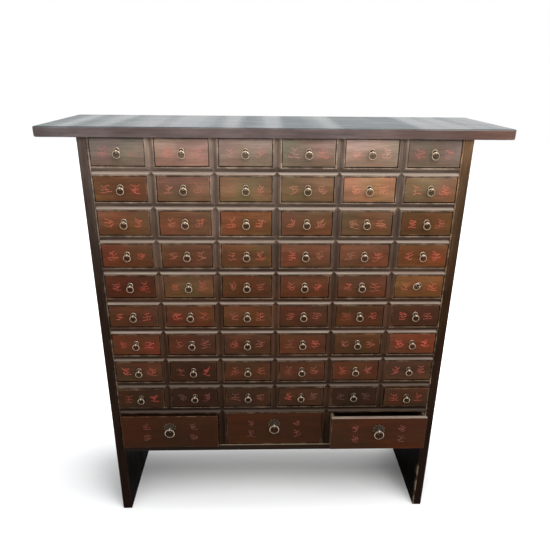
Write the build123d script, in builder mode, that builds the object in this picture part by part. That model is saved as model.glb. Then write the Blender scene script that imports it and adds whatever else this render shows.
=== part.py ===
from build123d import *
import os

# A free-standing apothecary cabinet: a long flat top on two side boards that reach
# the floor, and between them a grid of small drawers over a row of wide ones.
# Millimetres, +Z up, the fronts face -Y. The origin is on the floor, under the
# middle of everything, with the drawers and rings as they stand at rest.

# The grid of openings
column_count = 6
row_count = 9
columns_per_wide_drawer = 2
opening_width = 134.0
opening_height = 66.0
first_opening_height = 70.0
wide_opening_height = 116.0
divider_width = 23.0
rail_height = 23.0
bottom_rail_height = 23.0
leg_clearance = 230.0

# The boards of the case
side_thickness = 28.0
case_depth = 340.0
side_edge_radius = 4.0
top_thickness = 26.0
top_end_overhang = 100.0
top_front_overhang = 6.0
top_back_overhang = 4.0
top_edge_radius = 4.0
top_corner_radius = 9.0
rail_depth = 24.0
shelf_thickness = 8.0
partition_thickness = 10.0
back_thickness = 8.0
back_inset = 2.0
back_plank_count = 5

# The moulding on rails and dividers: a raised lip round each opening, and a hollow
# between two lips. The side boards have a fine bead along their inner edge.
lip_width = 3.5
hollow_depth = 5.0
bottom_rail_step = 2.0
bead_groove_width = 3.0
bead_groove_depth = 1.5

# The drawers
drawer_recess = 2.0
front_thickness = 12.0
front_edge_radius = 1.2
front_side_gap = 1.5
front_top_gap = 1.5
front_bottom_gap = 2.0
box_side_gap = 2.0
box_top_gap = 5.0
box_back_gap = 10.0
box_board_thickness = 9.0
drawer_bottom_thickness = 5.0
drawer_bottom_lift = 4.0
running_gap = 0.3

# How far some drawers stand open at rest, by row and column, or by their place
# in the wide row counted from the left
small_drawers_ajar = {(9, 1): 5.0, (9, 6): 8.0}
wide_drawers_ajar = {1: 14.0, 3: 31.0}

# The ring pull of a small drawer: a domed rosette, an eye on it and a ring
rosette_diameter = 15.0
rosette_rise = 4.0
small_eye_height = 4.0
ring_diameter = 19.5
ring_wire = 2.8

# The ring pull of a wide drawer: a thin petalled plate under the dome
plate_diameter = 40.0
plate_thickness = 1.4
petal_count = 10
petal_radius = 3.8
boss_diameter = 18.0
boss_rise = 4.5
wide_eye_height = 16.0
wide_ring_diameter = 29.5
wide_ring_wire = 3.2

# How far some small pulls are twisted in their hole, in degrees, clockwise from the front
twisted_pulls = {(5, 6): 82}

# The eyes of both
eye_width = 2.6
eye_wall = 1.5
dome_flat_radius = 3.2
dome_swell_share = 0.16
ring_play = 0.6
ring_seat_gap = 0.3

cut_overrun = 5.0
quarter_turn = 90

# Places across the case
pitch_x = opening_width + divider_width
inner_width = column_count * pitch_x - divider_width
case_width = inner_width + 2 * side_thickness
top_length = case_width + 2 * top_end_overhang
divider_places = [(i + 1) * pitch_x - pitch_x * column_count / 2 for i in range(column_count - 1)]
wide_drawer_count = column_count // columns_per_wide_drawer
wide_opening_width = columns_per_wide_drawer * pitch_x - divider_width
wide_divider_places = divider_places[columns_per_wide_drawer - 1 :: columns_per_wide_drawer]

# Places up the case: each row has its opening's lower and upper level
opening_heights = [first_opening_height] + [opening_height] * (row_count - 1)
wide_bottom = leg_clearance + bottom_rail_height
wide_top = wide_bottom + wide_opening_height
case_top = wide_top + row_count * rail_height + sum(opening_heights)
total_height = case_top + top_thickness


def row_levels(row):
    """The lower and upper level of a small drawer's opening; row 1 is the top one."""
    upper = case_top - sum(opening_heights[: row - 1]) - (row - 1) * rail_height
    return upper - opening_heights[row - 1], upper


# Places from front to back, with the case's front plane at the depth case_front.
# The rings of the drawer that stands open furthest are the foremost points.
eye_outer_radius = ring_wire / 2 + ring_play + eye_wall
wide_eye_outer_radius = wide_ring_wire / 2 + ring_play + eye_wall
small_pull_reach = rosette_rise + 2 * eye_outer_radius - drawer_recess
wide_pull_reach = plate_thickness + boss_rise + 2 * wide_eye_outer_radius - drawer_recess
foremost = max(
    [top_front_overhang, small_pull_reach + max([0, *small_drawers_ajar.values()])]
    + [wide_pull_reach + max([0, *wide_drawers_ajar.values()])]
)
rearmost = case_depth + top_back_overhang
case_front = (foremost - rearmost) / 2
back_panel_front = case_front + case_depth - back_inset - back_thickness
behind_rails = case_front + rail_depth
inner_depth = back_panel_front - behind_rails


def board(width, depth, height, centre_x, front_y, bottom_z):
    """A plain square-edged board."""
    with BuildPart() as made:
        with BuildSketch(Plane.XY.offset(bottom_z)):
            with Locations((centre_x, front_y + depth / 2)):
                Rectangle(width, depth)
        extrude(amount=height)
    return made.part


# The top: one thick board, its corners rounded and all its edges eased
with BuildPart() as top_board:
    with BuildSketch(Plane.XY.offset(case_top)):
        with Locations((0, case_front + (rearmost - top_front_overhang) / 2)):
            Rectangle(top_length, top_front_overhang + rearmost)
    extrude(amount=top_thickness)
    fillet(top_board.edges().filter_by(Axis.Z), radius=top_corner_radius)
    top_faces = top_board.faces().sort_by(Axis.Z)
    fillet(top_faces[-1].edges() + top_faces[0].edges(), radius=top_edge_radius)
top_board.part.label = "top_board"


def side_board(side):
    """A side board, from the floor to the top. side is -1 for the left one, 1 for the right."""
    inner = inner_width / 2
    groove_start, groove_end = inner + lip_width, inner + lip_width + bead_groove_width
    with BuildPart() as made:
        with BuildSketch(Plane.XY):
            with Locations((side * (inner + side_thickness / 2), case_front + case_depth / 2)):
                Rectangle(side_thickness, case_depth)
            with BuildLine():
                Polyline(
                    (side * groove_start, case_front - cut_overrun),
                    (side * groove_start, case_front),
                    (side * (groove_start + groove_end) / 2, case_front + bead_groove_depth),
                    (side * groove_end, case_front),
                    (side * groove_end, case_front - cut_overrun),
                    close=True,
                )
            make_face(mode=Mode.SUBTRACT)
        extrude(amount=case_top)
        upright = made.edges().filter_by(Axis.Z).sort_by(Axis.X)
        outer = upright[-2:] if side > 0 else upright[:2]
        fillet(outer, radius=side_edge_radius)
    return made.part


side_boards = Compound(label="side_boards", children=[side_board(-1), side_board(1)])


def hollow_section(across, along_start, width):
    """Points of a moulded member's section, as pairs of (across, depth): two lips and the hollow."""
    return [
        (across - width / 2, along_start),
        (across - width / 2 + lip_width, along_start),
        (across, along_start + hollow_depth),
        (across + width / 2 - lip_width, along_start),
        (across + width / 2, along_start),
    ]


def rail(row):
    """The moulded rail under a row of small drawers, mitred where the dividers' hollows meet it.

    Row 1 is the top one.
    """
    top = row_levels(row)[0]
    middle = top - rail_height / 2
    below = divider_places if row < row_count else wide_divider_places
    half_hollow = divider_width / 2 - lip_width
    with BuildPart() as made:
        with BuildSketch(Plane.YZ.offset(-inner_width / 2)):
            with BuildLine():
                front = [(y, z) for z, y in hollow_section(middle, case_front, rail_height)]
                back = [(behind_rails, top), (behind_rails, top - rail_height)]
                Polyline(*front, *back, close=True)
            make_face()
        extrude(amount=inner_width)
        for places, level in ((divider_places, middle), (below, top - rail_height)):
            with BuildSketch(Plane.XY.offset(level)):
                for x in places:
                    with BuildLine():
                        Polyline(
                            (x - half_hollow, case_front - cut_overrun),
                            (x - half_hollow, case_front),
                            (x, case_front + hollow_depth),
                            (x + half_hollow, case_front),
                            (x + half_hollow, case_front - cut_overrun),
                            close=True,
                        )
                    make_face()
            extrude(amount=rail_height / 2, mode=Mode.SUBTRACT)
    return made.part


def bottom_rail():
    """The rail under the wide drawers: a lip along the top and a plain face below it."""
    with BuildPart() as made:
        with BuildSketch(Plane.YZ.offset(-inner_width / 2)):
            with BuildLine():
                Polyline(
                    (case_front, wide_bottom),
                    (case_front, wide_bottom - lip_width),
                    (case_front + bottom_rail_step, wide_bottom - lip_width - bottom_rail_step),
                    (case_front + bottom_rail_step, leg_clearance),
                    (behind_rails, leg_clearance),
                    (behind_rails, wide_bottom),
                    close=True,
                )
            make_face()
        extrude(amount=inner_width)
    return made.part


def divider(x, bottom, top):
    """The moulded post between two openings of a row."""
    with BuildPart() as made:
        with BuildSketch(Plane.XY.offset(bottom)):
            with BuildLine():
                back = [(x + divider_width / 2, behind_rails), (x - divider_width / 2, behind_rails)]
                Polyline(*hollow_section(x, case_front, divider_width), *back, close=True)
            make_face()
        extrude(amount=top - bottom)
    return made.part


def case_pieces():
    """Rails, shelves, dividers, partitions and back planks of the case."""
    pieces = []
    for row in range(1, row_count + 1):
        bottom, top = row_levels(row)
        ceiling = top if row == 1 else top + rail_height - shelf_thickness
        pieces.append(rail(row))
        pieces.append(
            board(inner_width, inner_depth, shelf_thickness, 0, behind_rails, bottom - shelf_thickness)
        )
        for x in divider_places:
            pieces.append(divider(x, bottom, top))
            pieces.append(
                board(partition_thickness, inner_depth, ceiling - bottom, x, behind_rails, bottom)
            )
    pieces.append(bottom_rail())
    pieces.append(
        board(inner_width, inner_depth, shelf_thickness, 0, behind_rails, wide_bottom - shelf_thickness)
    )
    ceiling = wide_top + rail_height - shelf_thickness
    for x in wide_divider_places:
        pieces.append(divider(x, wide_bottom, wide_top))
        pieces.append(
            board(partition_thickness, inner_depth, ceiling - wide_bottom, x, behind_rails, wide_bottom)
        )
    plank_width = inner_width / back_plank_count
    for i in range(back_plank_count):
        x = (i - (back_plank_count - 1) / 2) * plank_width
        pieces.append(
            board(plank_width, back_thickness, case_top - leg_clearance, x, back_panel_front, leg_clearance)
        )
    return pieces


drawer_case = Compound(label="drawer_case", children=case_pieces())


def dome(diameter, rise, seat):
    """A low round dome with a small flat on its crown; seat is the depth of its base, -Y is outward."""
    with BuildPart() as made:
        with BuildSketch(Plane.XY):
            with BuildLine():
                Line((0, seat), (diameter / 2, seat))
                SagittaArc(
                    (diameter / 2, seat), (dome_flat_radius, seat - rise), -dome_swell_share * diameter / 2
                )
                Polyline((dome_flat_radius, seat - rise), (0, seat - rise), (0, seat))
            make_face()
        revolve(axis=Axis.Y)
    return made.part


def eye(seat, outer_radius, hole_radius):
    """The lug that carries the ring, with its hole along X; seat is the depth of its foot."""
    hole_y = seat - outer_radius
    with BuildPart() as made:
        with BuildSketch(Plane.YZ.offset(-eye_width / 2)):
            with Locations((hole_y, 0)):
                Circle(outer_radius)
            with Locations((seat - outer_radius / 2, 0)):
                Rectangle(outer_radius, 2 * hole_radius)
            with Locations((hole_y, 0)):
                Circle(hole_radius, mode=Mode.SUBTRACT)
        extrude(amount=eye_width)
    return made.part


def ring(diameter, wire, seat, outer_radius):
    """The ring, hanging in its eye; seat is the depth of the eye's foot."""
    major = (diameter - wire) / 2
    with BuildPart() as made:
        with Locations((0, seat - outer_radius, ring_seat_gap - ring_play - major)):
            Torus(major, wire / 2, rotation=(quarter_turn, 0, 0))
    return made.part


def plate(seat):
    """The thin flower-shaped plate of a wide drawer's pull."""
    petal_ring = plate_diameter / 2 - petal_radius
    with BuildPart() as made:
        with BuildSketch(Plane.XZ.offset(-seat)):
            Circle(petal_ring)
            with PolarLocations(petal_ring, petal_count):
                Circle(petal_radius)
        extrude(amount=plate_thickness)
    return made.part


def small_pull():
    """Rosette, eye and ring of a small drawer, on a face at Y = 0."""
    hole_radius = ring_wire / 2 + ring_play
    return [
        dome(rosette_diameter, rosette_rise, 0),
        eye(-rosette_rise, eye_outer_radius, hole_radius),
        ring(ring_diameter, ring_wire, -rosette_rise, eye_outer_radius),
    ]


def wide_pull():
    """Plate, dome, eye and ring of a wide drawer, on a face at Y = 0."""
    hole_radius = wide_ring_wire / 2 + ring_play
    crown = -plate_thickness - boss_rise
    return [
        plate(0),
        dome(boss_diameter, boss_rise, -plate_thickness),
        eye(crown, wide_eye_outer_radius, hole_radius),
        ring(wide_ring_diameter, wide_ring_wire, crown, wide_eye_outer_radius),
    ]


def drawer_boards(width, height):
    """Front, sides, back and bottom of a drawer for an opening of this size.

    The opening's lower edge is at Z = 0 and its middle at X = 0; the face is at Y = 0.
    """
    front_width = width - 2 * front_side_gap
    front_height = height - front_top_gap - front_bottom_gap
    with BuildPart() as front:
        with BuildSketch(Plane.XY.offset(front_bottom_gap)):
            with Locations((0, front_thickness / 2)):
                Rectangle(front_width, front_thickness)
        extrude(amount=front_height)
        fillet(front.faces().sort_by(Axis.Y)[0].edges(), radius=front_edge_radius)
    box_width = width - 2 * box_side_gap
    box_height = height - running_gap - box_top_gap
    box_end = back_panel_front - box_back_gap - (case_front + drawer_recess)
    side_length = box_end - front_thickness
    inside = box_width - 2 * box_board_thickness
    side_x = (box_width - box_board_thickness) / 2
    back_y = box_end - box_board_thickness
    return [
        front.part,
        board(box_board_thickness, side_length, box_height, -side_x, front_thickness, running_gap),
        board(box_board_thickness, side_length, box_height, side_x, front_thickness, running_gap),
        board(inside, box_board_thickness, box_height, 0, back_y, running_gap),
        board(
            inside,
            back_y - front_thickness,
            drawer_bottom_thickness,
            0,
            front_thickness,
            running_gap + drawer_bottom_lift,
        ),
    ]


def drawer(name, boards, pull, x, ajar, bottom, height, eye_height, twist):
    """One drawer with its pull, at its opening, standing out by ajar."""
    face = case_front + drawer_recess - ajar
    middle = bottom + front_bottom_gap + (height - front_bottom_gap - front_top_gap) / 2
    boards_place = Location((x, face, bottom))
    pull_place = Location((x, face, middle + eye_height), (0, twist, 0))
    pieces = [piece.moved(boards_place) for piece in boards]
    pieces += [piece.moved(pull_place) for piece in pull]
    return Compound(label=name, children=pieces)


small_pull_pieces = small_pull()
boards_by_height = {h: drawer_boards(opening_width, h) for h in set(opening_heights)}
drawers = []
for row in range(1, row_count + 1):
    bottom, top = row_levels(row)
    for column in range(1, column_count + 1):
        x = (column - (column_count + 1) / 2) * pitch_x
        ajar = small_drawers_ajar.get((row, column), 0)
        twist = twisted_pulls.get((row, column), 0)
        name = f"drawer_r{row}_c{column}"
        boards = boards_by_height[opening_heights[row - 1]]
        drawers.append(
            drawer(name, boards, small_pull_pieces, x, ajar, bottom, top - bottom, small_eye_height, twist)
        )

wide_boards, wide_pull_pieces = drawer_boards(wide_opening_width, wide_opening_height), wide_pull()
for place in range(1, wide_drawer_count + 1):
    x = (place - (wide_drawer_count + 1) / 2) * columns_per_wide_drawer * pitch_x
    ajar = wide_drawers_ajar.get(place, 0)
    name = f"drawer_wide_{place}"
    drawers.append(
        drawer(
            name, wide_boards, wide_pull_pieces, x, ajar, wide_bottom, wide_opening_height, wide_eye_height, 0
        )
    )

os.makedirs("parts", exist_ok=True)
for made in [top_board.part, side_boards, drawer_case, *drawers]:
    export_step(made, f"parts/{made.label}.step")
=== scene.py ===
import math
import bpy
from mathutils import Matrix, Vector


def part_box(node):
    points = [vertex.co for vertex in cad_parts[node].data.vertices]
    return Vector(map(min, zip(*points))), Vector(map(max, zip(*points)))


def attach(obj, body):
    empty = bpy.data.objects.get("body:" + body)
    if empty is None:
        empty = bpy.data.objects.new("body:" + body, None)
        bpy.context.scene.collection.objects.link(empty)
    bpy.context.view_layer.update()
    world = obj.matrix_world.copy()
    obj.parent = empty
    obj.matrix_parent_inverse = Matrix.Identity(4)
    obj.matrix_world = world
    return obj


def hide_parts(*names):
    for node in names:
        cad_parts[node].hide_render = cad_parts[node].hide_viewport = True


bl_info = {
    "name": "Apothecary Cabinet",
    "version": (1, 0, 0),
    "blender": (4, 5, 0),
    "location": "3D View > Sidebar > Cabinet",
    "description": "Builds a lacquered apothecary cabinet, drawer by drawer, around its packed frame",
    "category": "Add Mesh",
}

from types import SimpleNamespace

import bpy
import numpy as np
from mathutils import Matrix

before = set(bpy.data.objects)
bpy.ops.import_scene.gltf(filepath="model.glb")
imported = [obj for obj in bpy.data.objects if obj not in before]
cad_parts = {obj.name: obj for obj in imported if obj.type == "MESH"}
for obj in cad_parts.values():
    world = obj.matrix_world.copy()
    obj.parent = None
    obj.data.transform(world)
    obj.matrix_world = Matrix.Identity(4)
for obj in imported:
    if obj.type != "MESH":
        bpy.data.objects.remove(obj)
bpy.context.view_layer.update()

MM = 0.001
ROWS, COLUMNS, WIDE_DRAWERS = 9, 6, 3
ROW_KEYS = (*range(1, ROWS + 1), "wide")
SIDE_LOW, SIDE_HIGH = (np.array(corner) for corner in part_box("side_boards"))
CASE_LOW, CASE_HIGH = (np.array(corner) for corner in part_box("drawer_case"))
TOP_LOW, TOP_HIGH = (np.array(corner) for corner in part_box("top_board"))
CASE_LEFT, CASE_RIGHT, CASE_FRONT = float(CASE_LOW[0]), float(CASE_HIGH[0]), float(SIDE_LOW[1])

# The case's fixed sizes: gap beside a front, rails and dividers, and the boards behind them
SIDE_GAP = 1.5 * MM
RAIL_DEPTH = 24.0 * MM
HALF_DIVIDER = 11.5 * MM
SHELF, PARTITION, PLANK = 8.0 * MM, 10.0 * MM, 8.0 * MM
PARTITION_RISE = 15.0 * MM
PLANKS = 5

# From a ring's wire to the outside of its eye
EYE_ROOM = 2.1 * MM

# The pull that lies turned up, by row and column, and its turn in degrees
TURNED_PULL, PULL_TURN = (5, 6), 82

# Places of the four sprigs on a wide front, from the middle of the front
WIDE_SPRIG_ACROSS, WIDE_SPRIG_UP = 70 * MM, 19 * MM

# Each lamp's name, place, the height of the point that it faces, its width, height and watts
LAMPS = (
    ("window", (1.7, -1.9, 2.6), 0.8, 2.2, 2.0, 70.0),
    ("sky_front", (0.0, -1.5, 3.0), 0.8, 3.0, 1.4, 62.0),
    ("fill_left", (-2.6, -1.4, 1.9), 0.7, 1.6, 1.8, 8.0),
    ("back", (0.6, 1.9, 3.7), 0.4, 2.2, 1.8, 88.0),
)

# First seeds of the random draws, to which each drawer adds its number
FRONT_SEED, PATINA_SEED, SPRIG_SEED = 100, 300, 500


def linear(red, green, blue):
    """A colour given in display values, 0 to 255, as the linear values that shaders take."""
    shares = np.array([red, green, blue]) / 255
    return tuple(np.where(shares <= 0.04045, shares / 12.92, ((shares + 0.055) / 1.055) ** 2.4).tolist())


# The fronts' colour down the rows, as row and colour: greyer high up as a painted reflection, and darker low
# down, partly as painted shade
FADE = (
    (1.0, linear(131, 112, 98)),
    (2.0, linear(122, 90, 67)),
    (3.0, linear(104, 70, 49)),
    (4.5, linear(88, 55, 36)),
    (7.0, linear(77, 46, 29)),
    (9.0, linear(58, 36, 22)),
    (10.0, linear(57, 29, 13)),
)

# Factors on the colour of single fronts, by row and column: redder, more orange, olive, paler and darker
ODD_FRONTS = (
    ((1.1, 0.92, 0.86), {(2, 1), (4, 1), (5, 1), (5, 4), (7, 1), (7, 6), (8, 5)}),
    ((1.06, 0.98, 0.88), {(3, 3), (4, 6), (5, 3), (6, 2)}),
    ((1.0, 1.04, 0.84), {(3, 6), (4, 3), (5, 6), (7, 5)}),
    ((1.42, 1.42, 1.42), {(1, 2), (1, 5), (2, 5), (5, 2), (5, 6), (7, 1), (7, 6), (8, 1)}),
    ((0.66, 0.66, 0.66), {(1, 6), (2, 1), (3, 6), (5, 1), (6, 4), (6, 5), (6, 6), (8, 2), (9, 2), (9, 5)}),
)

# Painted shade: how much darker than its front a drawer's upper face is: usually, and on two drawers that
# stand open
USUAL_UPPER_FACE_SHADE = 0.3
UPPER_FACE_SHADES = {("wide", 1): 0.75, ("wide", 3): 0.0}


def length(name, description, millimetres):
    """A size, given in millimetres and kept in metres."""
    default, settings = millimetres * MM, {"min": 0.0, "subtype": "DISTANCE", "unit": "LENGTH"}
    return bpy.props.FloatProperty(name=name, description=description, default=default, **settings)


def colour(name, description, *display):
    """A colour, given in display values and kept in linear ones."""
    default, settings = linear(*display), {"size": 3, "min": 0.0, "max": 1.0, "subtype": "COLOR"}
    return bpy.props.FloatVectorProperty(name=name, description=description, default=default, **settings)


class CabinetSizes(bpy.types.PropertyGroup):
    """The sizes of the mouldings, the drawers and their pulls."""

    lip: length("Lip", "Width of the raised lip round each opening", 3.5)
    hollow: length("Hollow", "Depth of the hollow between two lips", 5.0)
    front: length("Front board", "Thickness of a drawer's front board", 12.0)
    front_bottom_gap: length("Gap under a front", "Opening under a drawer's front board", 2.0)
    front_top_gap: length("Gap over a front", "Opening over a drawer's front board", 1.5)
    running_gap: length("Running gap", "Height at which a drawer's box runs over its shelf", 0.3)
    box_board: length("Box board", "Thickness of the boards of a drawer's box", 9.0)
    eye_place: length("Pull's place", "Height of a small pull over its front's middle", 4.0)
    wide_eye_place: length("Wide pull's place", "Height of a wide pull over its front's middle", 16.0)
    rosette: length("Rosette", "Width of a small pull's rosette", 15.0)
    rosette_rise: length("Rosette rise", "Height of a small pull's rosette", 4.0)
    ring: length("Ring", "Width of a small ring", 19.5)
    ring_wire: length("Ring wire", "Thickness of a small ring's wire", 2.8)
    plate: length("Plate", "Width of a wide pull's petalled plate", 40.0)
    plate_thickness: length("Plate thickness", "Thickness of a wide pull's plate", 1.4)
    boss: length("Boss", "Width of a wide pull's dome", 18.0)
    boss_rise: length("Boss rise", "Height of a wide pull's dome", 4.5)
    wide_ring: length("Wide drawer's ring", "Width of a wide drawer's ring", 29.5)
    wide_ring_wire: length("Wide ring's wire", "Thickness of a wide drawer's ring", 3.2)
    sprig: length("Sprig", "Height of a painted sprig", 25.0)
    sprig_place: length("Sprig's place", "Distance of a sprig from the ring", 37.0)
    paint: length("Paint", "Thickness of the painted sprigs", 0.12)


class CabinetColours(bpy.types.PropertyGroup):
    """The colours of the lacquer, the worn edges, the paint and the brass."""

    # The case's colours hold painted light: paler and greyer high up as a painted reflection, darker low down
    # partly as painted shade
    case_high: colour("Case, high up", "Lacquer of the case near the top", 113, 97, 86)
    case_middle: colour("Case, halfway", "Lacquer of the case halfway up", 67, 46, 34)
    case_low: colour("Case, low down", "Lacquer of the case near the floor", 32, 21, 13)
    top: colour("Top", "Lacquer of the top board", 97, 82, 79)
    worn: colour("Worn edge", "Wood where the lacquer is rubbed off", 186, 166, 138)
    grime: colour("Grime", "Dark grime in the hollows", 26, 17, 13)
    # Painted sheen: the pale slopes that face up are partly rubbed dust and partly a painted reflection of
    # the light
    dust_and_sheen: colour("Rubbed slope", "Rubbed lacquer on the slopes that face up", 158, 143, 130)
    bare: colour("Bare wood", "Unlacquered wood inside and behind", 100, 82, 62)
    paint: colour("Red paint", "Paint of the sprigs", 190, 66, 50)
    brass: colour("Brass", "Metal of the pulls", 172, 154, 132)
    tarnish: colour("Tarnish", "Dark tarnish on the pulls", 44, 35, 27)
    wear: bpy.props.FloatProperty(
        name="Wear", description="How much the edges are rubbed", default=0.5, min=0, max=1, subtype="FACTOR"
    )


def grid_faces(rows, columns, wrap_rows=False, wrap_columns=False):
    """The faces of a grid of points counted row by row, each face from four neighbours."""
    row, column = np.indices((rows if wrap_rows else rows - 1, columns if wrap_columns else columns - 1))
    row_2, column_2 = (row + 1) % rows, (column + 1) % columns
    corners = ((row, column), (row, column_2), (row_2, column_2), (row_2, column))
    return np.stack([a * columns + b for a, b in corners], -1).reshape(-1, 4)


def joined(shapes):
    """One shape from several: points, faces with their numbers moved on, and the values at the points."""
    counts = [len(shape["points"]) for shape in shapes]
    whole = {"points": np.concatenate([shape["points"] for shape in shapes]), "faces": []}
    for shape, start in zip(shapes, np.cumsum([0, *counts]).tolist()):
        whole["faces"] += [tuple(int(i) + start for i in face) for face in shape["faces"]]
    for value, usual in (("edge", 0.0), ("mark", 0.0), ("shade", 1.0)):
        parts = [shape.get(value, np.full(count, usual)) for shape, count in zip(shapes, counts)]
        whole[value] = np.concatenate(parts)
    return whole


def uneven(points, amount, seed):
    """A slow unevenness between 0 and amount: the mean of three sine waves that cross the piece."""
    rng = np.random.default_rng(seed)
    total = np.zeros(len(points))
    for waves in (14.0, 31.0, 67.0):
        direction = rng.normal(size=3)
        direction /= np.linalg.norm(direction)
        total += np.sin(points @ direction * waves + rng.uniform(0, 2 * math.pi))
    return amount * (0.5 + total / 6)


def lines_along(size, radius, spread, count):
    """Grid lines along one side of a block: a few over each rounded end, then count evenly between."""
    radius = min(radius, size / 3)
    near = [0.0, 0.35 * radius, 0.7 * radius, radius]
    if size > 2 * (radius + spread) * 1.1:
        near.append(radius + spread)
    inner = np.linspace(near[-1], size - near[-1], count + 2)[1:-1]
    return np.array([*near, *inner, *(size - v for v in reversed(near))])


def block(low, high, radius, spread, counts, wobble=0.0, seed=1):
    """A board with rounded edges.

    Every point of a cube's surface is pulled in to the nearest point of a smaller block, and then
    pushed out from there by the radius. The edge value is 1 on an edge and falls to 0 over spread.
    """
    low, high = np.array(low, float), np.array(high, float)
    size = high - low
    sides = [lines_along(size[k], radius, spread, counts[k]) for k in range(3)]
    points, faces, start = [], [], 0
    for axis in range(3):
        b, c = (axis + 1) % 3, (axis + 2) % 3
        rows, columns = np.meshgrid(sides[b], sides[c], indexing="ij")
        for end in (0.0, size[axis]):
            sheet = np.zeros(rows.shape + (3,))
            sheet[..., axis], sheet[..., b], sheet[..., c] = end, rows, columns
            quads = grid_faces(*rows.shape) + start
            faces.append(quads if end == 0.0 else quads[:, ::-1])
            points.append(sheet.reshape(-1, 3))
            start += rows.size
    points, faces = np.concatenate(points), np.concatenate(faces)
    keys = np.round(points * 1e7).astype(np.int64)
    first, again = np.unique(keys, axis=0, return_index=True, return_inverse=True)[1:]
    points, faces = points[first], again.reshape(-1)[faces]
    reach = np.sort(np.minimum(points, size - points), axis=1)[:, 1]
    rounding = min(radius, float(size.min()) / 3)
    core = np.clip(points, rounding, size - rounding)
    out = points - core
    out /= np.linalg.norm(out, axis=1, keepdims=True)
    points = low + core + out * rounding
    if wobble:
        points -= out * uneven(points, wobble, seed)[:, None]
    edge = np.clip(1 - reach / (radius + spread), 0, 1)
    return {"points": points, "faces": [tuple(face) for face in faces.tolist()], "edge": edge}


def rounded_corners(shape, low, high, radius):
    """The block with the four upright corners of its plan rounded.

    In each corner the square of the radius is drawn in to a quarter disc: a point keeps its
    direction from the disc's middle, and its greater coordinate becomes its distance.
    """
    points = shape["points"].copy()
    middle, half = (low + high) / 2, (high - low) / 2
    off = points[:, :2] - middle[:2]
    into = np.maximum(np.abs(off) - (half[:2] - radius), 0)
    reach = np.maximum(np.linalg.norm(into, axis=1), 1e-9)
    drawn = into * (into.max(axis=1) / reach)[:, None]
    points[:, :2] += np.sign(off) * (drawn - into)
    return {**shape, "points": points}


def swept(outline, places, axis, **values):
    """A closed outline carried along one axis, with values at its points.

    outline has shape (places, points, 2): the outline may change from place to place. Its two
    numbers are the two other axes in X, Y, Z order. The faces point outwards whichever way the
    outline runs, which the sign of its area tells.
    """
    count, around = outline.shape[:2]
    points = np.zeros((count, around, 3))
    points[..., axis] = np.array(places)[:, None]
    points[..., [k for k in range(3) if k != axis]] = outline
    faces = [tuple(face) for face in grid_faces(count, around, wrap_columns=True).tolist()]
    faces += [tuple(range(around)), tuple(range((count - 1) * around, count * around))[::-1]]
    first, second = outline[0].T
    area = np.sum(first * np.roll(second, -1) - second * np.roll(first, -1))
    if (area > 0) == (axis == 1):
        faces = [face[::-1] for face in faces]
    values = {name: value.reshape(-1) for name, value in values.items()}
    return {"points": points.reshape(-1, 3), "faces": faces, **values}


def turned(radii, heights, around, centre, petals=0, petal_share=0.0):
    """A profile turned about the Y axis, given as its radii and its heights, height being outward.

    The profile starts and ends on the axis, and each end is one point there, so the shape is closed.
    Where petals are asked for, the radius dips between them by petal_share of itself, more
    towards the rim, as the absolute value of a sine.
    """
    radii, heights = np.array(radii, float), np.array(heights, float)
    angle = np.linspace(0, 2 * math.pi, around, endpoint=False)
    rim = radii / radii.max()
    dip = petal_share * np.abs(np.sin(angle * petals / 2))
    radius = radii[:, None] * (1 - rim[:, None] ** 2 * dip)
    outward = np.repeat(heights[:, None], around, 1)
    points = np.array(centre) + np.stack([radius * np.sin(angle), -outward, radius * np.cos(angle)], -1)
    points = np.concatenate([points[0, :1], points[1:-1].reshape(-1, 3), points[-1, :1]])
    column = np.arange(around)
    column_2 = (column + 1) % around
    last_ring = 1 + (len(radii) - 3) * around
    faces = (grid_faces(len(radii) - 2, around, wrap_columns=True) + 1).tolist()
    faces += np.stack([0 * column, 1 + column_2, 1 + column], -1).tolist()
    faces += np.stack([last_ring + column, last_ring + column_2, 0 * column + len(points) - 1], -1).tolist()
    edge = np.concatenate([rim[:1], np.repeat(rim[1:-1], around), rim[-1:]]) ** 3
    return {"points": points, "faces": [tuple(face[::-1]) for face in faces], "edge": edge}


def hoop(centre, major, across, thick, around, section, normal):
    """A closed ring about a centre: a rounded section carried round a circle.

    across is the section's half width along the ring's axis, thick its half width along the radius,
    and normal the axis, as the number of X, Y or Z.
    """
    turn = np.linspace(0, 2 * math.pi, around, endpoint=False)[:, None]
    roll = np.linspace(0, 2 * math.pi, section, endpoint=False)[None, :]
    radius = major + thick * np.cos(roll)
    points = np.zeros((around, section, 3))
    points[..., normal] = across * np.sin(roll)
    points[..., (normal + 1) % 3] = radius * np.cos(turn)
    points[..., (normal + 2) % 3] = radius * np.sin(turn)
    faces = grid_faces(around, section, wrap_rows=True, wrap_columns=True)[:, ::-1].tolist()
    edge = np.clip(np.cos(roll) * 0.5 + 0.5, 0, 1) + 0 * turn
    points = points.reshape(-1, 3) + np.array(centre)
    return {"points": points, "faces": [tuple(face) for face in faces], "edge": edge.reshape(-1)}


def quarter_round(reach, radius):
    """How far a quarter-round edge falls back at a distance from the edge."""
    share_in = np.clip(1 - reach / radius, 0, 1)
    return radius * (1 - np.sqrt(1 - share_in**2))


def hollow_depth(reach, half, sizes):
    """Depth of the slope at a distance from the member's edge: 0 on the lip, full depth at the middle."""
    slope = sizes.hollow * np.clip((reach - sizes.lip) / (half - sizes.lip), 0, 1)
    ease = 0.35 * MM
    return np.sqrt(slope**2 + ease**2) - ease


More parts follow.
